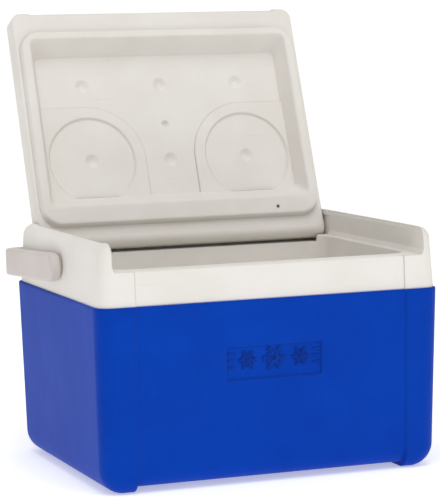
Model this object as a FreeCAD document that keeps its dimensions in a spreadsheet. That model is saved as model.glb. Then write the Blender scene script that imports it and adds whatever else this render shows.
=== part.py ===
# Small hard cooler chest: drafted outer shell, one-piece white liner with raised cheeks,
# hinged hollow lid and a bail handle that lies back behind the chest.
# Millimetres. X runs along the front, Y to the back, Z up. The origin is the middle of the
# footprint, on the plane that the two bottom runners stand on. The lid is modelled shut and
# then turned open about its hinge, and the handle is modelled level and then laid back.
import FreeCAD, Part
import math
import os
import Sketcher

SIZES = {
    # outer shell
    "shellWidth": 298,        # at the rim
    "shellDepth": 233,
    "shellHeight": 150,
    "shellDraft": 1.4,          # degrees, all four walls
    "shellWall": 3,
    "shellCorner": 14,        # upright corners and the front and back bottom edges
    "shellSideFoot": 20,      # bottom edges below the side walls
    "rimRound": 1.4,
    "bandWidth": 234,         # shallow middle band on front, back and underside
    "bandDepth": 1,
    "bandSoften": 0.8,
    "runnerHeight": 4,        # the band's underside clears the ground by this
    "badgeWidth": 83,
    "badgeHeight": 27.5,
    "badgeDepth": 1.2,
    "badgeCentre": 102,       # above the ground
    "badgeCorner": 1.5,
    # collar part of the liner
    "totalHeight": 200,
    "collarInset": 2,       # behind the shell rim at the sides
    "collarInsetFront": 2,
    "collarInsetBack": 3.5,
    "collarDraft": 3,
    "collarCorner": 12,
    "cheekRound": 10,
    "skirtDepth": 10,
    "skirtGap": 0.2,
    "lipWidth": 19.8,         # front lip, from the band's face to the mouth
    "lipRound": 1.5,
    "hingeShelf": 23,         # from the back of the collar to the mouth
    "backWall": 2.6,
    "backWallDrop": 12,       # back wall stops this far below the cheeks
    "troughDrop": 6.2,        # hinge trough below the lip
    "troughLead": 5,          # the trough starts this far in front of the mouth's back wall
    "rabbetWidth": 2,
    "rabbetDepth": 2.6,
    "ledgeRise": 4.4,         # sloped ledge at the foot of each cheek
    "ledgeWidth": 1.7,
    "pocketDepth": 1.2,       # shallow hinge pocket in each cheek
    "pocketLength": 33,
    "pocketDrop": 5,
    # tub part of the liner
    "mouthSide": 3,           # from the cheek's inner face to the mouth
    "tubDraft": 2.5,
    "tubWall": 2.5,
    "tubCorner": 20,
    "tubFloor": 14,           # top of the tub's floor
    "tubFloorRound": 12,
    "foamGap": 0.3,
    # lid
    "lidWidth": 268,
    "lidGap": 1,
    "lidThickness": 22,
    "lidSeatGap": 0.3,
    "lidFrontGap": 2.8,
    "lidOpen": 111,           # degrees
    "lidSkin": 2.5,
    "insideDraft": 1,
    "hingeReach": 11.6,       # hinge axis to the lid's back edge
    "hingeInset": 18,         # hinge axis to the back of the collar
    "hingeDrop": 13.5,        # hinge axis below the lid's top
    "lidBackRound": 10,
    "lidBackUnderRound": 8,
    "lidSideRound": 5,
    "lidUnderRound": 2,
    "lidCorner": 9,
    "plugGap": 1.5,
    "plugDrop": 6,            # raised rim round the underside
    "plugRoot": 4,
    "plugDraft": 12,
    "plugCorner": 18,
    "plugRound": 2.2,
    "plugSide": 9,         # rim width at the sides, hinge side and front
    "plugBack": 17.5,
    "plugFront": 8,
    "trayDepth": 11,          # tray floor above the lid's underside
    "trayDraft": 36,          # front and back slopes
    "traySideDraft": 21,
    "trayCorner": 6,
    "cupRadius": 40,
    "cupDepth": 1.8,
    "cupSpread": 147,
    "cupSetback": 32.5,       # behind the tray's centre
    "plateauHeight": 1.3,
    "plateauMargin": 10,
    "kissRadius": 6.5,
    "kissDepth": 2.6,
    "kissTaper": 0.35,        # a dimple's bottom, as a share of its mouth
    "kissRowFront": 37,       # in front of the tray's centre
    "kissRowBack": 34,
    "kissSpread": 147,
    "kissSmallRadius": 3.5,
    "coasterRadius": 38,      # shallow rings on the lid's top
    "coasterDepth": 2,
    "ventRadius": 1.5,
    "ventSide": 89,
    "ventInset": 26,
    # lid hinge pins
    "pinRadius": 4,
    "pinRunning": 0.05,
    "pinInLid": 9,
    "pinInCheek": 7,
    # handle
    "armGap": 0.5,            # collar's widest side to the arm
    "armThickness": 9,
    "barThickness": 10,
    "handleHeight": 23.5,
    "handleBackGap": 8,       # back of the collar to the inside of the crossbar
    "handleCorner": 16,
    "handleInnerCorner": 7,
    "handleEdge": 2.6,
    "handleDroop": 3.3,         # degrees below level at rest
    "handleDrop": 27,         # handle axis below the cheeks' top
    "handleAhead": 6,         # handle axis in front of the middle of the footprint
    "studRadius": 5,
    "studRunning": 0.05,
    "studInArm": 5,
    "studFlange": 10,
    "studFlangeThickness": 0.8,
    "studTail": 1,
    "clipRadius": 9,
    "clipThickness": 1.6,
    "clipGap": 0.5,
    # empty hollows under the collar
    "collarWall": 3,
    "cheekWall": 2,
    "cheekTopWall": 6,
    # how far cutting blocks run past what they cut
    "lap": 1,
    "past": 5,
    "wellPast": 40,
}


class Aliases:
    """Gives each alias of the sheet as text for an expression."""

    def __getattr__(self, alias):
        return "Sizes." + alias


d = Aliases()
doc = FreeCAD.newDocument("CoolerChest")
sheet = doc.addObject("Spreadsheet::Sheet", "Sizes")
for row, (alias, value) in enumerate(SIZES.items(), start=1):
    sheet.set(f"A{row}", alias)
    sheet.set(f"B{row}", str(value))
    sheet.setAlias(f"B{row}", alias)
doc.recompute()

# Places that several pieces share, each worked out from the sheet.
collarWidth = f"({d.shellWidth} - 2 * {d.collarInset})"
collarFront = f"(-{d.shellDepth} / 2 + {d.collarInsetFront})"
collarBack = f"({d.shellDepth} / 2 - {d.collarInsetBack})"
bandFront = f"({collarFront} + {d.bandDepth})"
bayHalf = f"({d.lidWidth} / 2 + {d.lidGap})"
mouthHalf = f"({bayHalf} - {d.mouthSide})"
mouthFront = f"({bandFront} + {d.lipWidth})"
mouthBack = f"({collarBack} - {d.hingeShelf})"
lidUnder = f"({d.totalHeight} - {d.lidThickness})"
lipTop = f"({lidUnder} - {d.lidSeatGap})"
troughFloor = f"({lipTop} - {d.troughDrop})"
backWallInner = f"({collarBack} - {d.backWall})"
hingeY = f"({collarBack} - {d.hingeInset})"
hingeZ = f"({d.totalHeight} - {d.hingeDrop})"
lidFront = f"({bandFront} + {d.lidFrontGap})"
lidBack = f"({hingeY} + {d.hingeReach})"
plugHalf = f"({mouthHalf} - {d.plugGap})"
plugBackY = f"({mouthBack} - {d.plugGap})"
plugFrontY = f"({mouthFront} + {d.plugGap})"
trayHalf = f"({plugHalf} - {d.plugSide})"
trayBackY = f"({plugBackY} - {d.plugBack})"
trayFrontY = f"({plugFrontY} + {d.plugFront})"
trayMidY = f"(({trayBackY} + {trayFrontY}) / 2)"
trayFloor = f"({lidUnder} + {d.trayDepth})"
handleY = f"(-{d.handleAhead})"
handleZ = f"({d.totalHeight} - {d.handleDrop})"
handleReach = f"({collarBack} + {d.handleBackGap} - {handleY})"
armInner = f"({collarWidth} / 2 + {d.armGap})"
armOuter = f"({armInner} + {d.armThickness})"


def number(expression):
    """The present value of an expression on the sheet."""
    return float(sheet.evalExpression(expression))


def bind(thing, **expressions):
    for name, expression in expressions.items():
        thing.setExpression(name.replace("_", "."), str(expression))
    return thing


def box(name, x, y, z):
    """A box from three (low, high) pairs of expressions."""
    block = doc.addObject("Part::Box", name)
    bind(block, Length=f"({x[1]}) - ({x[0]})", Width=f"({y[1]}) - ({y[0]})", Height=f"({z[1]}) - ({z[0]})")
    return bind(block, Placement_Base_x=x[0], Placement_Base_y=y[0], Placement_Base_z=z[0])


def cone(name, radius, topRadius, height, x, y, z):
    solid = doc.addObject("Part::Cone", name)
    bind(solid, Radius1=radius, Radius2=topRadius, Height=height)
    return bind(solid, Placement_Base_x=x, Placement_Base_y=y, Placement_Base_z=z)


def upright(name, radius, height, x, y, z):
    solid = doc.addObject("Part::Cylinder", name)
    bind(solid, Radius=radius, Height=height)
    return bind(solid, Placement_Base_x=x, Placement_Base_y=y, Placement_Base_z=z)


def crosswise(name, radius, x, y, z):
    """A cylinder along X between two places."""
    solid = doc.addObject("Part::Cylinder", name)
    bind(solid, Radius=radius, Height=f"({x[1]}) - ({x[0]})")
    solid.Placement = FreeCAD.Placement(FreeCAD.Vector(), FreeCAD.Rotation(FreeCAD.Vector(0, 1, 0), 90))
    return bind(solid, Placement_Base_x=x[0], Placement_Base_y=y, Placement_Base_z=z)


def cut(name, base, tool):
    result = doc.addObject("Part::Cut", name)
    result.Base = base
    result.Tool = tool
    return result


def fuse(name, *pieces):
    result = doc.addObject("Part::MultiFuse", name)
    result.Shapes = list(pieces)
    result.Refine = True
    return result


def common(name, *pieces):
    result = doc.addObject("Part::MultiCommon", name)
    result.Shapes = list(pieces)
    return result


def edgesWhere(shape, test):
    """Numbers of the edges whose every sampled point passes the test."""
    found = []
    for index, edge in enumerate(shape.Edges, start=1):
        if edge.Length > 0.01 and not edge.Degenerated and all(test(p) for p in edge.discretize(5)):
            found.append(index)
    return found


def rounded(name, base, *groups):
    """A Part::Fillet over groups of (test, radius expression)."""
    doc.recompute()
    result = doc.addObject("Part::Fillet", name)
    result.Base = base
    edges = []
    for test, radius in groups:
        size = number(radius)
        edges += [(index, size, size) for index in edgesWhere(base.Shape, test)]
    result.Edges = edges
    return result


def turned(body, name, base, edges, radius):
    """A fillet inside a body over the numbered edges of its last feature."""
    fillet = body.newObject("PartDesign::Fillet", name)
    fillet.Base = (base, [f"Edge{index}" for index in edges])
    bind(fillet, Radius=radius)
    doc.recompute()
    return fillet


def drafted(name, x, y, z, height, draft, corner=None, endRound=None, sideFoot=None, down=False):
    """A block drawn at height z over (low, high) pairs in x and y, that narrows away from there.

    Its corners are rounded upright. With a side foot, the end's two edges along y are rounded
    first, and the corner's radius then runs right round the front and the back face.
    """
    body = doc.addObject("PartDesign::Body", name)
    plane = next(item for item in body.Origin.OriginFeatures if item.Role == "XY_Plane")
    sketch = body.newObject("Sketcher::SketchObject", name + "Outline")
    sketch.AttachmentSupport = (plane, [""])
    sketch.MapMode = "FlatFace"
    half = 50.0
    corners = [FreeCAD.Vector(sx * half, sy * half, 0) for sx, sy in ((-1, -1), (1, -1), (1, 1), (-1, 1))]
    for index in range(4):
        sketch.addGeometry(Part.LineSegment(corners[index], corners[(index + 1) % 4]), False)
    for index in range(4):
        sketch.addConstraint(Sketcher.Constraint("Coincident", index, 2, (index + 1) % 4, 1))
        sketch.addConstraint(Sketcher.Constraint("Horizontal" if index % 2 == 0 else "Vertical", index))
    sketch.addConstraint(Sketcher.Constraint("Symmetric", 0, 1, 2, 1, -1, 1))
    widthIndex = sketch.addConstraint(Sketcher.Constraint("DistanceX", 0, 1, 0, 2, 2 * half))
    depthIndex = sketch.addConstraint(Sketcher.Constraint("DistanceY", 1, 1, 1, 2, 2 * half))
    sketch.setExpression(f"Constraints[{widthIndex}]", f"({x[1]}) - ({x[0]})")
    sketch.setExpression(f"Constraints[{depthIndex}]", f"({y[1]}) - ({y[0]})")
    pad = body.newObject("PartDesign::Pad", name + "Pad")
    pad.Profile = sketch
    pad.Reversed = down
    bind(pad, Length=height, TaperAngle=f"-({draft})")
    bind(body, Placement_Base_x=f"(({x[0]}) + ({x[1]})) / 2", Placement_Base_y=f"(({y[0]}) + ({y[1]})) / 2",
         Placement_Base_z=z)
    doc.recompute()
    if not corner:
        return body
    end = (-1 if down else 1) * pad.Length.Value
    if sideFoot:
        loop = edgesWhere(pad.Shape, lambda p: abs(p.z - end) < 0.001)
        feet = [index for index in loop if abs(pad.Shape.Edges[index - 1].tangentAt(0).y) > 0.9]
        footed = turned(body, name + "Feet", pad, feet, sideFoot)
        halfY, slope = number(f"(({y[1]}) - ({y[0]})) / 2"), math.tan(math.radians(number(draft)))

        def onFace(p):
            return abs(abs(p.y) - halfY + abs(p.z) * slope) < 0.01
        outline = [index for index in edgesWhere(footed.Shape, onFace)
                   if abs(footed.Shape.Edges[index - 1].CenterOfMass.z) > 0.01]
        turned(body, name + "Outline", footed, outline, corner)
        return body
    uprights = [index for index, edge in enumerate(pad.Shape.Edges, start=1)
                if abs(edge.Vertexes[0].Z - edge.Vertexes[1].Z) > 0.5 * pad.Length.Value]
    cornered = turned(body, name + "Corners", pad, uprights, corner)
    if endRound:
        loop = edgesWhere(cornered.Shape, lambda p: abs(p.z - end) < 0.001)
        turned(body, name + "End", cornered, loop, endRound)
    return body


def about(expression):
    """A low and a high place, as far either side of the middle plane."""
    return f"-({expression})", f"({expression})"


def outerShell():
    walls = about(f"{d.shellWidth} / 2"), about(f"{d.shellDepth} / 2")
    block = drafted("ShellBlock", *walls, d.shellHeight, d.shellHeight, d.shellDraft, d.shellCorner,
                    sideFoot=d.shellSideFoot, down=True)
    bandCore = drafted("ShellBandCore", walls[0], about(f"{d.shellDepth} / 2 - {d.bandDepth}"), d.shellHeight,
                       f"{d.shellHeight} - {d.runnerHeight}", d.shellDraft, d.shellCorner,
                       sideFoot=d.shellSideFoot, down=True)
    slab = box("ShellBandSlab", about(f"{d.bandWidth} / 2"), about(f"{d.shellDepth} / 2 + {d.past}"),
               (f"-{d.past}", f"{d.shellHeight} + {d.past}"))
    banded = cut("ShellBanded", block, cut("ShellBand", slab, bandCore))
    badge = box("ShellBadgeBlock", about(f"{d.badgeWidth} / 2"),
                (f"-{d.shellDepth} / 2", f"-{d.shellDepth} / 2 + {d.bandDepth} + {d.badgeDepth}"),
                about(f"{d.badgeHeight} / 2"))
    badgeSoft = rounded("ShellBadgeSoft", badge, (lambda p: abs(abs(p.x) - number(d.badgeWidth) / 2) < 0.01
                        and abs(abs(p.z) - number(d.badgeHeight) / 2) < 0.01, d.badgeCorner))
    badgeDrop = f"({d.shellHeight} - {d.badgeCentre})"
    badgeSoft.Placement.Rotation = FreeCAD.Rotation(FreeCAD.Vector(1, 0, 0), number(d.shellDraft))
    bind(badgeSoft, Placement_Base_z=d.badgeCentre, Placement_Base_y=f"{badgeDrop} * tan({d.shellDraft})")
    badged = cut("ShellBadged", banded, badgeSoft)
    cavity = drafted("ShellCavity", about(f"{d.shellWidth} / 2 - {d.shellWall}"),
                     about(f"{d.shellDepth} / 2 - {d.bandDepth} - {d.shellWall}"),
                     f"{d.shellHeight} + {d.lap}",
                     f"{d.shellHeight} + {d.lap} - {d.runnerHeight} - {d.shellWall}", d.shellDraft,
                     f"{d.shellCorner} - {d.shellWall}", sideFoot=f"{d.shellSideFoot} - {d.shellWall}",
                     down=True)
    hollow = cut("ShellHollow", badged, cavity)
    half = number(d.bandWidth) / 2
    rim = number(d.shellHeight)
    doc.recompute()

    def onStep(p):
        return abs(abs(p.x) - half) < 0.02 and not bandCore.Shape.isInside(p, 0.05, True)

    def onRim(p):
        return abs(p.z - rim) < 0.01 and not cavity.Shape.isInside(p, 0.05, True)
    stepped = rounded("ShellStepped", hollow, (onStep, d.bandSoften))
    return rounded("outer_shell", stepped, (onRim, d.rimRound))


def collarBlock(name, inset, corner):
    """The collar's drafted block from the shell's rim up, taken in by an inset."""
    return drafted(name, about(f"{collarWidth} / 2 - {inset}"),
                   (f"{collarFront} + {inset}", f"{collarBack} - {inset}"), d.shellHeight,
                   f"{d.totalHeight} - {d.shellHeight}", d.collarDraft, corner, d.cheekRound)


def tubBlock(name, grow, floor, endRound):
    """The tub's drafted block from the lip down, grown by a wall."""
    return drafted(name, about(f"{mouthHalf} + {grow}"), (f"{mouthFront} - {grow}", f"{mouthBack} + {grow}"),
                   lipTop, f"{lipTop} - {floor}", d.tubDraft, f"{d.tubCorner} + {grow}", endRound, down=True)


def liner():
    outside = collarBlock("LinerCollar", 0, d.collarCorner)
    bandCore = drafted("LinerBandCore", about(f"{collarWidth} / 2 + {d.wellPast}"),
                       (bandFront, f"{collarBack} + {d.wellPast}"), d.shellHeight,
                       f"{d.totalHeight} + {d.past} - {d.shellHeight}", d.collarDraft)
    slab = box("LinerBandSlab", about(f"{d.bandWidth} / 2"), (f"{collarFront} - {d.past}", "0"),
               (f"{d.shellHeight} - {d.lap}", f"{d.totalHeight} + {d.lap}"))
    banded = cut("LinerBanded", outside, cut("LinerBand", slab, bandCore))
    ledgeTop = f"({lipTop} + {d.ledgeRise})"
    bay = box("LinerBay", about(bayHalf), (f"{collarFront} - {d.past}", backWallInner),
              (ledgeTop, f"{d.totalHeight} + {d.lap}"))
    ledge = drafted("LinerLedge", about(bayHalf), (f"{collarFront} - {d.wellPast}", backWallInner),
                    ledgeTop, d.ledgeRise, f"atan({d.ledgeWidth} / {d.ledgeRise})", down=True)
    overWall = box("LinerOverWall", about(bayHalf),
                   (f"{backWallInner} - {d.lap}", f"{collarBack} + {d.past}"),
                   (f"{d.totalHeight} - {d.backWallDrop}", f"{d.totalHeight} + {d.lap}"))
    trough = box("LinerTrough", about(bayHalf), (f"{mouthBack} - {d.troughLead}", backWallInner),
                 (troughFloor, f"{ledgeTop} + {d.lap}"))
    rabbetLength = (f"{collarFront} + {d.lipWidth}", f"{hingeY} - {d.hingeReach}")
    rabbets = [box(f"LinerRabbet{side}", places, rabbetLength,
                   (f"{d.totalHeight} - {d.rabbetDepth}", f"{d.totalHeight} + {d.lap}"))
               for side, places in (("Left", (f"-{bayHalf} - {d.rabbetWidth}", f"-{bayHalf} + {d.lap}")),
                                    ("Right", (f"{bayHalf} - {d.lap}", f"{bayHalf} + {d.rabbetWidth}")))]
    pockets = box("LinerHingePockets", about(f"{bayHalf} + {d.pocketDepth}"),
                  (f"{backWallInner} - {d.pocketLength}", backWallInner),
                  (lipTop, f"{d.totalHeight} - {d.pocketDrop}"))
    room = fuse("LinerBayRoom", bay, ledge, overWall, trough, pockets, *rabbets)
    shaped = cut("LinerShaped", banded, room)
    skirt = drafted("LinerSkirt", about(f"{d.shellWidth} / 2 - {d.shellWall} - {d.skirtGap}"),
                    about(f"{d.shellDepth} / 2 - {d.bandDepth} - {d.shellWall} - {d.skirtGap}"),
                    d.shellHeight, d.skirtDepth, d.shellDraft, f"{d.shellCorner} - {d.shellWall}", down=True)
    tubOutside = tubBlock("LinerTubOutside", d.tubWall, f"({d.tubFloor} - {d.tubWall})",
                          f"{d.tubFloorRound} + {d.tubWall}")
    tubInside = tubBlock("LinerTubInside", "0", d.tubFloor, d.tubFloorRound)
    hollowTop = f"({troughFloor} - {d.collarWall})"
    hollowBase = f"({d.shellHeight} - {d.skirtDepth} - {d.lap})"
    hollow = drafted("LinerHollow",
                     about(f"{d.shellWidth} / 2 - {d.shellWall} - {d.skirtGap} - {d.collarWall}"),
                     about(f"{d.shellDepth} / 2 - {d.bandDepth} - {d.shellWall} - {d.collarWall}"),
                     hollowBase, f"{hollowTop} - {hollowBase}", d.collarDraft, d.collarCorner)
    lean = f"({d.totalHeight} - {d.shellHeight}) * tan({d.collarDraft})"
    cheekInner = f"({bayHalf} + {d.pocketDepth} + {d.cheekWall})"
    cheekPlaces = (cheekInner, f"{collarWidth} / 2 - {lean} - {d.collarWall}")
    cheekY = (f"{collarFront} + {d.collarCorner}", f"{hingeY} - {d.hingeReach} - {d.collarWall}")
    clipLow = f"{handleZ} - {d.clipRadius} - {d.clipGap}"
    cheekZ = (f"min({hollowTop} - {d.lap}; {clipLow})", f"{d.totalHeight} - {d.cheekTopWall}")
    cheeks = [box("LinerCheekHollow" + side, span, cheekY, cheekZ) for side, span in bothSides(*cheekPlaces)]
    under = cut("LinerUnder", fuse("LinerHollows", hollow, *cheeks), tubOutside)
    solid = fuse("LinerWhole", shaped, skirt, tubOutside)
    whole = cut("LinerTub", cut("LinerOpened", solid, under), tubInside)
    studBores = crosswise("LinerStudBores", f"{d.studRadius} + {d.studRunning}",
                          about(f"{collarWidth} / 2 + {d.lap}"), handleY, handleZ)
    pinSpan = f"{bayHalf} + {d.pocketDepth} + {d.pinInCheek}"
    pinBores = crosswise("LinerPinBores", d.pinRadius, about(pinSpan), hingeY, hingeZ)
    inner = box("LinerBoreStop", about(cheekInner),
                (f"{handleY} - 2 * {d.studRadius}", f"{handleY} + 2 * {d.studRadius}"),
                (f"{handleZ} - 2 * {d.studRadius}", f"{handleZ} + 2 * {d.studRadius}"))
    bored = cut("LinerBored", whole, fuse("LinerBores", cut("LinerStudBoresCut", studBores, inner), pinBores))
    doc.recompute()
    lipZ = number(lipTop)
    faceY = number(f"{bandFront} + ({lipTop} - {d.shellHeight}) * tan({d.collarDraft})")

    def onMouth(p):
        return abs(p.z - lipZ) < 0.01 and tubInside.Shape.isInside(p, 0.05, True)

    def onLip(p):
        return abs(p.z - lipZ) < 0.01 and abs(p.y - faceY) < 0.02
    mouthSoft = rounded("LinerMouthSoft", bored, (onMouth, d.lipRound))
    lipSoft = rounded("LinerLipSoft", mouthSoft, (onLip, d.lipRound))
    return cut("liner", lipSoft, trough)


def foamCore():
    cavity = drafted("FoamBlock", about(f"{d.shellWidth} / 2 - {d.shellWall} - {d.foamGap}"),
                     about(f"{d.shellDepth} / 2 - {d.bandDepth} - {d.shellWall} - {d.foamGap}"),
                     d.shellHeight,
                     f"{d.shellHeight} - {d.runnerHeight} - {d.shellWall} - {d.foamGap}", d.shellDraft,
                     f"{d.shellCorner} - {d.shellWall}", sideFoot=f"{d.shellSideFoot} - {d.shellWall}",
                     down=True)
    above = box("FoamAbove", about(f"{d.shellWidth}"), about(f"{d.shellDepth}"),
                (f"{d.shellHeight} - {d.skirtDepth} - {d.foamGap}", f"{d.shellHeight} + {d.lap}"))
    wall = f"({d.tubWall} + {d.foamGap})"
    tub = tubBlock("FoamTub", wall, f"({d.tubFloor} - {wall})", f"{d.tubFloorRound} + {wall}")
    return cut("foam_core", cavity, fuse("FoamRoom", above, tub))


def lidSlab(name, front):
    """The shut lid's slab from a front place to its back, with its outer edges rounded."""
    slab = box(name + "Slab", about(f"{d.lidWidth} / 2"), (front, lidBack), (lidUnder, d.totalHeight))
    sideX, frontY, backY = number(f"{d.lidWidth} / 2"), number(front), number(lidBack)
    topZ, underZ, turn = number(d.totalHeight), number(lidUnder), number(d.lidCorner)

    def onSide(p):
        return abs(abs(p.x) - sideX) < 0.01

    def onFront(p):
        return abs(p.y - frontY) < 0.01

    def onTurn(p):
        across, along = abs(p.x) - sideX + turn, p.y - frontY - turn
        return abs((across ** 2 + along ** 2) ** 0.5 - turn) < 0.01

    def outline(p, z):
        return abs(p.z - z) < 0.01 and p.y < backY - 0.02 and (onSide(p) or onFront(p) or onTurn(p))

    def onBack(p, z):
        return abs(p.z - z) < 0.01 and abs(p.y - backY) < 0.01
    corners = rounded(name + "Corners", slab, (lambda p: onSide(p) and onFront(p), d.lidCorner))
    back = rounded(name + "Back", corners, (lambda p: onBack(p, topZ), d.lidBackRound),
                   (lambda p: onBack(p, underZ), d.lidBackUnderRound))
    return rounded(name, back, (lambda p: outline(p, topZ), d.lidSideRound),
                   (lambda p: outline(p, underZ), d.lidUnderRound))


def trayBlock(name, grow, base, height):
    """The tray's room, steeper at its sides than at its front and back, grown by a wall."""
    halfX, baseZ = number(f"{trayHalf} + {grow}"), number(base)
    frontY, backY = number(f"{trayFrontY} - {grow}"), number(f"{trayBackY} + {grow}")
    sideSlope, endSlope = (math.tan(math.radians(number(draft))) for draft in (d.traySideDraft, d.trayDraft))
    across = drafted(name + "Across", about(f"{trayHalf} + {grow}"),
                     (f"{trayFrontY} - {d.wellPast}", f"{trayBackY} + {d.wellPast}"), base, height,
                     d.traySideDraft)
    along = drafted(name + "Along", about(f"{trayHalf} + {d.wellPast}"),
                    (f"{trayFrontY} - {grow}", f"{trayBackY} + {grow}"), base, height, d.trayDraft)

    def onCorner(p):
        rise = p.z - baseZ
        onSide = abs(halfX - rise * sideSlope - abs(p.x)) < 0.01
        return onSide and min(abs(frontY + rise * endSlope - p.y), abs(backY - rise * endSlope - p.y)) < 0.01
    return rounded(name, common(name + "Block", across, along), (onCorner, d.trayCorner))


def lid():
    whole = lidSlab("LidWhole", lidFront)
    bandCore = lidSlab("LidBandCore", f"{lidFront} + {d.bandDepth}")
    bandSlab = box("LidBandSlab", about(f"{d.bandWidth} / 2"),
                   (f"{lidFront} - {d.lap}", f"{lidFront} + 3 * {d.lidCorner}"),
                   (f"{lidUnder} - {d.lap}", f"{d.totalHeight} + {d.lap}"))
    banded = cut("LidBanded", whole, cut("LidBand", bandSlab, bandCore))
    plugUnder = f"({lidUnder} - {d.plugDrop})"
    flare = f"({d.plugRoot} * tan({d.plugDraft}))"
    plug = drafted("LidPlug", about(f"{plugHalf} + {flare}"),
                   (f"{plugFrontY} - {flare}", f"{plugBackY} + {flare}"), f"{lidUnder} + {d.plugRoot}",
                   f"{d.plugDrop} + {d.plugRoot}", d.plugDraft, d.plugCorner, down=True)
    outside = fuse("LidOutside", banded, plug)
    tray = trayBlock("LidTray", "0", plugUnder, f"({d.plugDrop} + {d.trayDepth})")
    cupY = f"({trayMidY} + {d.cupSetback})"
    plateaus, cups, kisses, coasters = [], [], [], []
    reach = f"({d.cupRadius} + {d.plateauMargin})"
    cupFloor = f"({trayFloor} - {d.plateauHeight} + {d.cupDepth})"
    for side, cupX in (("Right", f"{d.cupSpread} / 2"), ("Left", f"-{d.cupSpread} / 2")):
        across = dict(bothSides(f"{d.cupSpread} / 2 - {reach}", trayHalf))[side]
        beside = dict(bothSides(f"{d.cupSpread} / 2", trayHalf))[side]
        level = (f"{trayFloor} - {d.plateauHeight}", f"{trayFloor} + {d.lap}")
        plateaus.append(upright("LidPlateauTurn" + side, reach, f"{d.plateauHeight} + {d.lap}", cupX, cupY,
                                level[0]))
        plateaus.append(box("LidPlateauBack" + side, across, (cupY, trayBackY), level))
        plateaus.append(box("LidPlateauBeside" + side, beside, (f"{cupY} - {reach}", trayBackY), level))
        cups.append(cone("LidCup" + side, f"{d.cupRadius} + {d.lap}", f"{d.cupRadius} - {d.lap}",
                         f"{d.cupDepth} + {d.lap}", cupX, cupY, f"{cupFloor} - {d.cupDepth} - {d.lap}"))
        coasters.append(cone("LidCoaster" + side, f"{d.coasterRadius} - {d.coasterDepth}", d.coasterRadius,
                             d.coasterDepth, cupX, cupY, f"{d.totalHeight} - {d.coasterDepth}"))
        kisses.append((f"{cupX}", cupY, cupFloor, d.kissRadius))
        kissX = dict(bothSides("0", f"{d.kissSpread} / 2"))[side][1 if side == "Right" else 0]
        kisses.append((kissX, f"{trayMidY} - {d.kissRowFront}", trayFloor, d.kissRadius))
    kisses.append(("0", f"{trayMidY} - {d.kissRowFront}", trayFloor, d.kissRadius))
    kisses.append(("0", f"{trayMidY} + {d.kissRowBack}", trayFloor, d.kissRadius))
    kisses.append(("0", trayMidY, trayFloor, d.kissSmallRadius))
    dimples = [cone(f"LidKiss{index}", f"{radius}", f"{radius} * {d.kissTaper}", d.kissDepth, x, y, z)
               for index, (x, y, z, radius) in enumerate(kisses)]
    posts = [upright(f"LidPost{index}", f"{radius} + {d.lidSkin}", d.lidThickness, x, y, lidUnder)
             for index, (x, y, z, radius) in enumerate(kisses)]
    trayRoom = cut("LidTrayRoom", tray, fuse("LidPlateaus", *plateaus))
    grown = trayBlock("LidTrayGrown", f"(2 * {d.lidSkin})", plugUnder,
                      f"({d.plugDrop} + {d.trayDepth} + {d.lidSkin})")
    hollowTop = f"({d.totalHeight} - {d.coasterDepth} - {d.lidSkin})"
    inside = drafted("LidInside", about(f"{d.lidWidth} / 2 - {d.lidSkin}"),
                     (f"{lidFront} + {d.bandDepth} + {d.lidSkin}", f"{hingeY} - {d.hingeReach}"), hollowTop,
                     f"{hollowTop} - {lidUnder} - {d.lidSkin}", d.insideDraft,
                     f"{d.lidCorner} - {d.lidSkin}", down=True)
    hollow = cut("LidHollow", inside, fuse("LidInnerWalls", grown, *posts))
    vent = upright("LidVent", d.ventRadius, f"{d.plugDrop} + {d.lidSkin} + 2", d.ventSide,
                   f"{lidBack} - {d.ventInset}", f"{plugUnder} - {d.lap}")
    bores = [crosswise("LidBore" + side, f"{d.pinRadius} + {d.pinRunning}", span, hingeY, hingeZ)
             for side, span in bothSides(f"{d.lidWidth} / 2 - {d.pinInLid}", f"{d.lidWidth} / 2 + {d.lap}")]
    cutTools = fuse("LidCuts", trayRoom, hollow, vent, *cups, *coasters, *dimples, *bores)
    shaped = cut("LidShaped", outside, cutTools)
    rimZ = number(plugUnder)
    result = rounded("lid", shaped, (lambda p: abs(p.z - rimZ) < 0.01 and
                     abs(p.x - number(d.ventSide)) > 3 * number(d.ventRadius), d.plugRound))
    hinge = FreeCAD.Vector(0, number(hingeY), number(hingeZ))
    result.Placement = FreeCAD.Placement(FreeCAD.Vector(), FreeCAD.Rotation(FreeCAD.Vector(1, 0, 0),
                                         -number(d.lidOpen)), hinge)
    return result


def bothSides(near, far):
    """A span on the right-hand side and its mirror on the left."""
    return ("Right", (near, far)), ("Left", (f"-({far})", f"-({near})"))


def hingePins():
    return [crosswise("lid_hinge_pin_" + side.lower(), d.pinRadius, span, hingeY, hingeZ)
            for side, span in bothSides(f"{d.lidWidth} / 2 - {d.pinInLid} + {d.lidGap}",
                                        f"{bayHalf} + {d.pocketDepth} + {d.pinInCheek}")]


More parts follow.
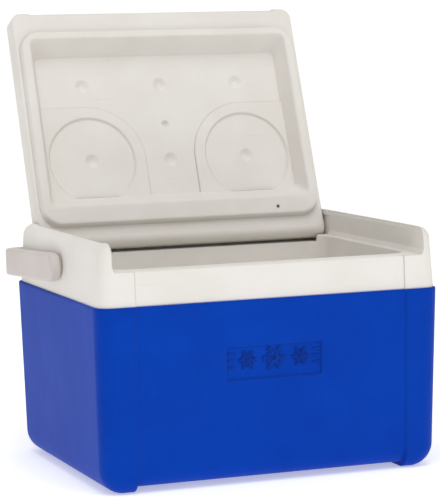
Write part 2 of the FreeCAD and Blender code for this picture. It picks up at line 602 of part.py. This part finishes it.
def handle():
    """The bail, level, about its own pivot line."""
    half = f"({d.handleHeight} / 2)"
    reach = f"({handleReach} + {d.barThickness})"
    outer = box("HandleOuter", about(armOuter), (f"-{half}", reach), about(half))
    inner = box("HandleInner", about(armInner), (f"-{half} - {d.lap}", handleReach),
                about(f"{half} + {d.lap}"))
    outerX, innerX, reachY, innerY = number(armOuter), number(armInner), number(reach), number(handleReach)
    outerSoft = rounded("HandleOuterSoft", outer, (lambda p: abs(abs(p.x) - outerX) < 0.01
                        and abs(p.y - reachY) < 0.01, d.handleCorner))
    innerSoft = rounded("HandleInnerSoft", inner, (lambda p: abs(abs(p.x) - innerX) < 0.01
                        and abs(p.y - innerY) < 0.01, d.handleInnerCorner))
    bail = cut("HandleBail", outerSoft, innerSoft)
    ends = fuse("HandleEnds", crosswise("HandleEndRound", half, about(f"{armOuter} + {d.lap}"), "0", "0"),
                box("HandleEndBox", about(f"{armOuter} + {d.lap}"), ("0", f"{reach} + {d.lap}"),
                    about(f"{half} + {d.lap}")))
    shaped = common("HandleShaped", bail, ends)
    bores = [crosswise("HandleBore" + side, d.studRadius, span, "0", "0")
             for side, span in bothSides(f"{armInner} - {d.lap}", f"{armInner} + {d.studInArm}")]
    edgeZ = number(half)

    def onEdge(p):
        along = abs(abs(p.z) - edgeZ) < 0.01 and p.y > -0.01
        end = p.y < 0.01 and abs((p.y ** 2 + p.z ** 2) ** 0.5 - edgeZ) < 0.01
        return along or end
    soft = rounded("HandleSoft", shaped, (onEdge, d.handleEdge))
    return laidBack(cut("handle", soft, fuse("HandleBores", *bores)))


def laidBack(piece):
    """Turns a piece about the pivot line to its rest place behind the chest."""
    turn = FreeCAD.Rotation(FreeCAD.Vector(1, 0, 0), -number(d.handleDroop))
    piece.Placement = FreeCAD.Placement(FreeCAD.Vector(0, number(handleY), number(handleZ)), turn)
    return piece


def handlePivots():
    lean = f"({d.totalHeight} - {d.shellHeight}) * tan({d.collarDraft})"
    wallInside = f"({collarWidth} / 2 - {lean} - {d.collarWall})"
    clipOuter = f"({wallInside} - {d.clipGap})"
    pieces = []
    studInner = f"({clipOuter} - {d.clipThickness} - {d.studTail})"
    for side, span in bothSides(studInner, f"{armInner} + {d.studInArm}"):
        shaft = crosswise("StudShaft" + side, d.studRadius, span, "0", "0")
        flangeSpan = dict(bothSides(f"{armInner} - {d.studFlangeThickness}", armInner))[side]
        flange = crosswise("StudFlange" + side, d.studFlange, flangeSpan, "0", "0")
        pieces.append(laidBack(fuse("handle_pivot_" + side.lower(), shaft, flange)))
        clipSpan = dict(bothSides(f"{clipOuter} - {d.clipThickness}", clipOuter))[side]
        disc = crosswise("ClipDisc" + side, d.clipRadius, clipSpan, "0", "0")
        hole = crosswise("ClipHole" + side, d.studRadius, clipSpan, "0", "0")
        pieces.append(laidBack(cut("handle_clip_" + side.lower(), disc, hole)))
    return pieces


pieces = [outerShell(), foamCore(), liner(), lid(), *hingePins(), handle(), *handlePivots()]
doc.recompute()
for thing in doc.Objects:
    if "Invalid" in thing.State or "Error" in thing.State:
        raise RuntimeError(f"{thing.Name} failed: {thing.State}")
for piece in pieces:
    if piece.Shape.isNull() or not piece.Shape.isValid() or len(piece.Shape.Solids) != 1:
        raise RuntimeError(f"{piece.Label} is not one valid solid")
os.makedirs("parts", exist_ok=True)
for piece in pieces:
    piece.Shape.exportStep(f"parts/{piece.Label}.step")
    print(piece.Label, round(piece.Shape.Volume / 1000, 1), "cm3")
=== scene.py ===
import math
import bmesh
import bpy
from mathutils import Matrix, Vector


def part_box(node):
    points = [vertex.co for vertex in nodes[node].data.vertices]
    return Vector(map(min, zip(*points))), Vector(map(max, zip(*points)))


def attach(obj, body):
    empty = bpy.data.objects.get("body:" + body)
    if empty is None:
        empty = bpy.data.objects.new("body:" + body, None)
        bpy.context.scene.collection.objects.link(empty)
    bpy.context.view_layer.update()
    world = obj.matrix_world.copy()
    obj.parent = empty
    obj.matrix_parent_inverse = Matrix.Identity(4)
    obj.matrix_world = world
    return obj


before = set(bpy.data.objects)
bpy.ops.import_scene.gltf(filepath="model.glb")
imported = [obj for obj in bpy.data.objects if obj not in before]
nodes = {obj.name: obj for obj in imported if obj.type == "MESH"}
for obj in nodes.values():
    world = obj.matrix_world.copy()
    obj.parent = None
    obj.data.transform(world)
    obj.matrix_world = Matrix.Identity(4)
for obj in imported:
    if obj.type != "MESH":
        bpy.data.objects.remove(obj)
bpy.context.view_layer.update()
print("frame loaded:", sorted(nodes))


class Field:
    # a socket that can be used in sums; every operation adds one node
    def __init__(self, maker, socket):
        self.maker = maker
        self.socket = socket

    def math(self, operation, first, second):
        return self.maker.node("ShaderNodeMath", {"operation": operation}, {0: first, 1: second})

    def __add__(self, other):
        return self.math("ADD", self, other)

    def __radd__(self, other):
        return self.math("ADD", other, self)

    def __sub__(self, other):
        return self.math("SUBTRACT", self, other)

    def __rsub__(self, other):
        return self.math("SUBTRACT", other, self)

    def __mul__(self, other):
        return self.math("MULTIPLY", self, other)

    def __rmul__(self, other):
        return self.math("MULTIPLY", other, self)

    def ramp(self, low, high):
        # 0 below low, 1 above high, smooth between
        return self.maker.node("ShaderNodeMapRange", {"interpolation_type": "SMOOTHSTEP"},
                               {"Value": self, "From Min": low, "From Max": high})


class Maker:
    # builds one material's node tree
    def __init__(self, name):
        self.material = bpy.data.materials.new(name)
        self.material.use_nodes = True
        self.tree = self.material.node_tree
        self.tree.nodes.clear()
        self.out = self.tree.nodes.new("ShaderNodeOutputMaterial")
        self.shader = self.tree.nodes.new("ShaderNodeBsdfPrincipled")
        self.tree.links.new(self.shader.outputs[0], self.out.inputs[0])

    def put(self, socket, value):
        if isinstance(value, Field):
            self.tree.links.new(value.socket, socket)
        else:
            socket.default_value = value

    def node(self, kind, settings, inputs, output=0):
        made = self.tree.nodes.new(kind)
        for key, value in settings.items():
            setattr(made, key, value)
        for key, value in inputs.items():
            self.put(made.inputs[key], value)
        return Field(self, made.outputs[output])

    def place(self, stretch=(1, 1, 1), turn=(0, 0, 0)):
        # object coordinates in metres, stretched and turned
        coords = self.node("ShaderNodeTexCoord", {}, {}, "Object")
        return self.node("ShaderNodeMapping", {}, {"Vector": coords, "Scale": stretch, "Rotation": turn})

    def noise(self, size, detail=3.0, rough=0.55, stretch=(1, 1, 1), turn=(0, 0, 0)):
        # size is the width of one blob in metres
        return self.node("ShaderNodeTexNoise", {}, {"Vector": self.place(stretch, turn), "Scale": 1 / size,
                                                    "Detail": detail, "Roughness": rough})

    def cells(self, size):
        return self.node("ShaderNodeTexVoronoi", {}, {"Vector": self.place(), "Scale": 1 / size})

    def mixColour(self, amount, first, second):
        made = self.tree.nodes.new("ShaderNodeMix")
        made.data_type = "RGBA"
        for socket in made.inputs:
            if socket.name == "Factor" and socket.type == "VALUE":
                self.put(socket, amount)
            if socket.type == "RGBA":
                self.put(socket, first if socket.name == "A" else second)
        return Field(self, next(socket for socket in made.outputs if socket.type == "RGBA"))

    def edge(self, radius):
        # above 0 on edges, 0 on flat walls
        bent = self.node("ShaderNodeBevel", {"samples": 4}, {"Radius": radius})
        flat = self.node("ShaderNodeNewGeometry", {}, {}, "Normal")
        return 1 - self.node("ShaderNodeVectorMath", {"operation": "DOT_PRODUCT"}, {0: bent, 1: flat},
                             "Value")

    def crease(self, reach):
        # near 1 deep in a corner or groove, 0 in the open
        return 1 - self.node("ShaderNodeAmbientOcclusion", {"samples": 6, "only_local": True},
                             {"Distance": reach}, "AO")

    def bump(self, height, distance, normal=None):
        inputs = {"Height": height, "Distance": distance}
        if normal is not None:
            inputs["Normal"] = normal
        return self.node("ShaderNodeBump", {}, inputs)

    def rounded(self, radius, normal):
        # softens the shading of sharp edges
        return self.node("ShaderNodeBevel", {"samples": 4}, {"Radius": radius, "Normal": normal})

    def finish(self, **sockets):
        for key, value in sockets.items():
            self.put(self.shader.inputs[key.replace("_", " ")], value)
        return self.material


def colour(red, green, blue):
    # display values 0 to 255 as the linear colour that a shader takes
    def linear(value):
        part = value / 255
        return part / 12.92 if part <= 0.04045 else ((part + 0.055) / 1.055) ** 2.4
    return linear(red), linear(green), linear(blue), 1.0


shellFinish = {
    "blue": (0, 64, 179), "deep": (0, 60, 172), "wornAndPaintedHighlight": (40, 92, 200), "dust": (80, 106, 172),
    "cloudSize": 0.05, "grainSize": 0.0008, "grainHeight": 0.00009, "dragSize": 0.006,
    "waveSize": 0.045, "waveHeight": 0.0005, "edge": 0.0014, "softEdge": 0.0030,
    "scratchSize": 0.0016, "speckSize": 0.0022, "dragHeight": 0.00012, "creaseReach": 0.004,
    "creaseShade": (0, 36, 118), "creaseAmount": 0.2, "speckAmount": 0.10, "scratchAmount": 0.10,
    "rimAmount": 0.40, "rough": 0.46, "specular": 0.05, "sheen": 0.06, "sheenRough": 0.40,
}


def makeShellPlastic():
    look = shellFinish
    maker = Maker("shellBluePlastic")
    cloud = maker.noise(look["cloudSize"], 4.0)
    drag = maker.noise(look["dragSize"], 3.0, 0.6, (1, 1, 0.08))  # upright marks from the mould's opening
    # rim mask: partly worn edges, partly a painted highlight along the edges
    rim = maker.edge(look["edge"]).ramp(0.02, 0.22)
    specks = maker.noise(look["speckSize"], 4.0, 0.7).ramp(0.70, 0.80)
    scratches = maker.noise(look["scratchSize"], 2.0, 0.5, (1, 1, 0.03), (0.35, 0.5, 0)).ramp(0.70, 0.76)
    base = maker.mixColour(cloud.ramp(0.3, 0.7), colour(*look["blue"]), colour(*look["deep"]))
    # painted shade: the blue is darkened towards creaseShade in creases and grooves, from ambient occlusion
    dark = maker.crease(look["creaseReach"]).ramp(0.45, 0.9)
    base = maker.mixColour(dark * look["creaseAmount"], base, colour(*look["creaseShade"]))
    base = maker.mixColour(specks * look["speckAmount"], base, colour(*look["dust"]))
    base = maker.mixColour(scratches * look["scratchAmount"], base, colour(*look["wornAndPaintedHighlight"]))
    # lighter blue along the edges: partly edge wear, partly painted highlight
    base = maker.mixColour(rim * look["rimAmount"], base, colour(*look["wornAndPaintedHighlight"]))
    grain = maker.cells(look["grainSize"]) + maker.noise(look["grainSize"], 2.0)
    fine = maker.bump(grain, look["grainHeight"])
    dragged = maker.bump(drag, look["dragHeight"], maker.rounded(look["softEdge"], fine))
    broad = maker.bump(maker.noise(look["waveSize"], 1.0), look["waveHeight"], dragged)
    rough = look["rough"] + cloud * 0.10 - scratches * 0.08
    return maker.finish(Base_Color=base, Roughness=rough, Normal=broad, Specular_IOR_Level=look["specular"],
                        Sheen_Weight=look["sheen"], Sheen_Roughness=look["sheenRough"],
                        Sheen_Tint=(1, 1, 1, 1))


whiteFinishes = {
    "liner": {"pale": (240, 236, 231), "warm": (235, 231, 224),
              "rough": 0.42, "wave": 0.034, "lump": 0.0003},
    "lid": {"pale": (236, 232, 227), "warm": (231, 226, 219), "rough": 0.40, "wave": 0.020, "lump": 0.0006},
    # the handle colours are darker than the other whites: partly the handle's own pinkish grey, partly
    # painted shade for its less lit side
    "handle": {"pale": (214, 205, 201), "warm": (208, 199, 194),
               "rough": 0.44, "wave": 0.016, "lump": 0.0003},
    "pin": {"pale": (221, 216, 208), "warm": (214, 208, 199), "rough": 0.35, "wave": 0.010, "lump": 0.0001},
}
# real wear marks (grime specks, scuffs) together with the painted crease shade colour for the white
# plastics
whiteWearAndPaintedShade = {
    "grime": (158, 148, 134), "crease": (150, 139, 124), "edge": (240, 238, 234), "scuff": (176, 168, 158),
    "creaseReach": 0.006, "grainSize": 0.0009, "grainHeight": 0.00003, "softEdge": 0.0016,
    "cloudSize": 0.06, "speckSize": 0.0028, "scuffSize": 0.0022, "edgeReach": 0.0015, "speckAmount": 0.16,
    "scuffAmount": 0.12, "creaseAmount": 0.45, "edgeAmount": 0.15, "specular": 0.35,
}


def makeWhitePlastic(part):
    look, wearAndPaintedShade = whiteFinishes[part], whiteWearAndPaintedShade
    maker = Maker(part + "WhitePlastic")
    cloud = maker.noise(wearAndPaintedShade["cloudSize"], 4.0)
    specks = maker.noise(wearAndPaintedShade["speckSize"], 4.0, 0.65).ramp(0.72, 0.80)
    scuffs = maker.noise(wearAndPaintedShade["scuffSize"], 2.0, 0.5, (0.05, 1, 1), (0, 0.6, 0.4)).ramp(0.70, 0.78)
    # painted shade: ambient occlusion mask that darkens creases and grooves
    dark = maker.crease(wearAndPaintedShade["creaseReach"]).ramp(0.30, 0.85)
    rim = maker.edge(wearAndPaintedShade["edgeReach"]).ramp(0.02, 0.3)
    base = maker.mixColour(cloud.ramp(0.3, 0.7), colour(*look["pale"]), colour(*look["warm"]))
    base = maker.mixColour(specks * wearAndPaintedShade["speckAmount"], base, colour(*wearAndPaintedShade["grime"]))
    base = maker.mixColour(scuffs * wearAndPaintedShade["scuffAmount"], base, colour(*wearAndPaintedShade["scuff"]))
    # painted shade mixed in towards the crease colour
    base = maker.mixColour(dark * wearAndPaintedShade["creaseAmount"], base, colour(*wearAndPaintedShade["crease"]))
    base = maker.mixColour(rim * wearAndPaintedShade["edgeAmount"], base, colour(*wearAndPaintedShade["edge"]))
    fine = maker.bump(maker.noise(wearAndPaintedShade["grainSize"], 3.0, 0.6), wearAndPaintedShade["grainHeight"])
    lumps = maker.bump(maker.noise(look["wave"], 2.0), look["lump"], maker.rounded(wearAndPaintedShade["softEdge"], fine))
    rough = look["rough"] + cloud * 0.10 + scuffs * 0.15
    return maker.finish(Base_Color=base, Roughness=rough, Normal=lumps,
                        Specular_IOR_Level=wearAndPaintedShade["specular"])


def makeFoam():
    maker = Maker("rigidFoam")
    bead = maker.cells(0.003)
    base = maker.mixColour(bead.ramp(0.1, 0.6), colour(236, 226, 190), colour(214, 200, 158))
    return maker.finish(Base_Color=base, Roughness=0.9, Normal=maker.bump(bead, 0.0006))


def makeSteel():
    maker = Maker("clipSteel")
    streak = maker.noise(0.0006, 3.0, 0.6, (1, 1, 12))
    base = maker.mixColour(streak, colour(170, 170, 172), colour(140, 140, 143))
    return maker.finish(Base_Color=base, Metallic=1.0, Roughness=0.3 + streak * 0.15)


shellPlastic = makeShellPlastic()
finishes = {"outer_shell": shellPlastic, "foam_core": makeFoam(), "liner": makeWhitePlastic("liner"),
            "lid": makeWhitePlastic("lid"), "handle": makeWhitePlastic("handle")}
pinPlastic = makeWhitePlastic("pin")
clipSteel = makeSteel()
for name in nodes:
    if "clip" in name:
        finishes[name] = clipSteel
    finishes.setdefault(name, pinPlastic)
    for slot in nodes[name].material_slots:
        slot.material = finishes[name]
print("materials on", len(nodes), "nodes")


badge = {
    "centre": 0.1014, "draft": 1.4, "recess": 0.0022, "rise": 0.0008, "sink": 0.0003,
    "crystals": ((0.0, 0.0108), (-0.0230, 0.0084), (0.0230, 0.0084)),  # place along the badge, radius
    "arm": 0.13, "branches": ((0.42, 0.34), (0.70, 0.24)), "branchTurn": 60, "hub": 0.24,
    "branchWidth": 0.85,
    "dashPlace": 0.0370, "dashLength": 0.0070, "dashes": (-0.0054, 0.0, 0.0054), "dashWidth": 0.0014,
    "edge": 0.00022,
}


def addBar(mesh, start, turn, length, width):
    # a bar that lies on the badge floor and runs out from a point
    rise = badge["rise"] + badge["sink"]
    sized = Matrix.Diagonal((length, width, rise, 1))
    turned = Matrix.Translation((*start, 0)) @ Matrix.Rotation(turn, 4, "Z")
    shifted = turned @ Matrix.Translation((length / 2, 0, 0))
    made = bmesh.ops.create_cube(mesh, size=1, matrix=shifted @ sized)
    return made["verts"]


def addCrystal(mesh, place, radius):
    # one arm with its branches, turned into six, and a six-sided hub
    width = radius * badge["arm"]
    thin = width * badge["branchWidth"]
    arm = addBar(mesh, (place, 0), 0, radius, width)
    for along, reach in badge["branches"]:
        for side in (-1, 1):
            turn = math.radians(badge["branchTurn"]) * side
            arm += addBar(mesh, (place + radius * along, 0), turn, radius * reach, thin)
    geometry = set(arm)
    for vert in arm:
        geometry.update(vert.link_edges)
        geometry.update(vert.link_faces)
    bmesh.ops.spin(mesh, geom=list(geometry), cent=(place, 0, 0), axis=(0, 0, 1), angle=math.tau * 5 / 6,
                   steps=5, use_duplicate=True)
    hub = bmesh.ops.create_cone(mesh, cap_ends=True, segments=6, radius1=radius * badge["hub"],
                                radius2=radius * badge["hub"], depth=badge["rise"] + badge["sink"])
    bmesh.ops.translate(mesh, verts=hub["verts"], vec=(place, 0, 0))


def makeBadge():
    # a raised row of ice crystals on the floor of the front recess
    mesh = bmesh.new()
    for place, radius in badge["crystals"]:
        addCrystal(mesh, place, radius)
    for side in (-1, 1):
        for level in badge["dashes"]:
            left = badge["dashPlace"] * side - badge["dashLength"] / 2
            addBar(mesh, (left, level), 0, badge["dashLength"], badge["dashWidth"])
    bmesh.ops.bevel(mesh, geom=mesh.edges[:], offset=badge["edge"], segments=2, profile=0.5, affect="EDGES",
                    material=-1)
    low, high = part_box("outer_shell")
    lean = math.radians(badge["draft"])
    faceY = low[1] + (high[2] - badge["centre"]) * math.tan(lean) + badge["recess"]
    upright = Matrix.Rotation(math.pi / 2 + lean, 4, "X")
    raised = Matrix.Translation((0, 0, (badge["rise"] - badge["sink"]) / 2))
    bmesh.ops.transform(mesh, verts=mesh.verts[:],
                        matrix=Matrix.Translation((0, faceY, badge["centre"])) @ upright @ raised)
    data = bpy.data.meshes.new("front_badge_relief")
    mesh.to_mesh(data)
    mesh.free()
    relief = bpy.data.objects.new("front_badge_relief", data)
    bpy.context.collection.objects.link(relief)
    data.materials.append(shellPlastic)
    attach(relief, "chest")


makeBadge()
print("badge relief made")


stage = {"width": 9.0, "front": -4.0, "back": 3.2, "height": 4.0, "turn": 1.2, "steps": 24,
         "shade": (252, 252, 251), "glow": 0.42}


def edgesAt(mesh, y):
    return [edge for edge in mesh.edges if all(abs(vert.co.y - y) < 1e-5 for vert in edge.verts)]


def sweepFar(mesh, y, vec):
    # extrudes the open edge at depth y along a vector
    grown = bmesh.ops.extrude_edge_only(mesh, edges=edgesAt(mesh, y))
    moved = [item for item in grown["geom"] if isinstance(item, bmesh.types.BMVert)]
    bmesh.ops.translate(mesh, verts=moved, vec=vec)


def makeStage():
    # a pale floor that sweeps up behind
    mesh = bmesh.new()
    half = stage["width"] / 2
    mesh.edges.new([mesh.verts.new((side * half, stage["front"], 0)) for side in (-1, 1)])
    sweepFar(mesh, stage["front"], (0, stage["back"] - stage["front"], 0))
    bmesh.ops.spin(mesh, geom=edgesAt(mesh, stage["back"]), cent=(0, stage["back"], stage["turn"]),
                   axis=(1, 0, 0), angle=math.pi / 2, steps=stage["steps"])
    sweepFar(mesh, stage["back"] + stage["turn"], (0, 0, stage["height"]))
    bmesh.ops.recalc_face_normals(mesh, faces=mesh.faces[:])
    data = bpy.data.meshes.new("floorSweep")
    mesh.to_mesh(data)
    mesh.free()
    data.polygons.foreach_set("use_smooth", [True] * len(data.polygons))
    floor = bpy.data.objects.new("floorSweep", data)
    bpy.context.collection.objects.link(floor)
    maker = Maker("paleFloor")
    shade = colour(*stage["shade"])
    data.materials.append(maker.finish(Base_Color=shade, Roughness=0.9, Specular_IOR_Level=0.1,
                                       Emission_Color=shade, Emission_Strength=stage["glow"]))


lights = {
    "key": {"place": (1.1, -2.0, 2.2), "size": 2.0, "power": 6, "tint": (1.0, 0.99, 0.98)},
    "front": {"place": (0.2, -3.4, 1.1), "size": 1.8, "power": 8, "tint": (1.0, 1.0, 1.0)},
    "top": {"place": (-0.3, -0.9, 2.6), "size": 1.6, "power": 24, "tint": (1.0, 1.0, 1.0)},
}
worldLight = {"shade": (1.0, 1.0, 1.0), "strength": 0.44}


def makeLights():
    aim = Vector((0, 0, 0.15))
    for name, look in lights.items():
        data = bpy.data.lights.new(name, "AREA")
        data.shape = "SQUARE"
        data.size = look["size"]
        data.energy = look["power"]
        data.color = look["tint"]
        lamp = bpy.data.objects.new(name, data)
        lamp.location = look["place"]
        lamp.rotation_euler = (aim - lamp.location).to_track_quat("-Z", "Y").to_euler()
        bpy.context.collection.objects.link(lamp)
    world = bpy.data.worlds.new("studio")
    bpy.context.scene.world = world
    world.use_nodes = True
    back = world.node_tree.nodes["Background"]
    back.inputs["Color"].default_value = (*worldLight["shade"], 1)
    back.inputs["Strength"].default_value = worldLight["strength"]


view = {"place": (-0.684, -1.770, 0.377), "turn": 20.6, "down": 5.43, "roll": -1.09, "lens": 162.8,
        "shift": (0.0408, -0.0395)}


def makeCamera():
    data = bpy.data.cameras.new("view")
    data.sensor_width = 36
    data.lens = view["lens"]
    data.shift_x, data.shift_y = view["shift"]
    eye = bpy.data.objects.new("view", data)
    turned = Matrix.Rotation(math.radians(-view["turn"]), 4, "Z")
    tipped = Matrix.Rotation(math.radians(90 - view["down"]), 4, "X")
    rolled = Matrix.Rotation(math.radians(view["roll"]), 4, "Z")
    eye.matrix_world = Matrix.Translation(view["place"]) @ turned @ tipped @ rolled
    bpy.context.collection.objects.link(eye)
    bpy.context.scene.camera = eye


makeStage()
makeLights()
makeCamera()
bpy.context.scene.view_settings.view_transform = "Standard"
print("stage, lights and camera set")
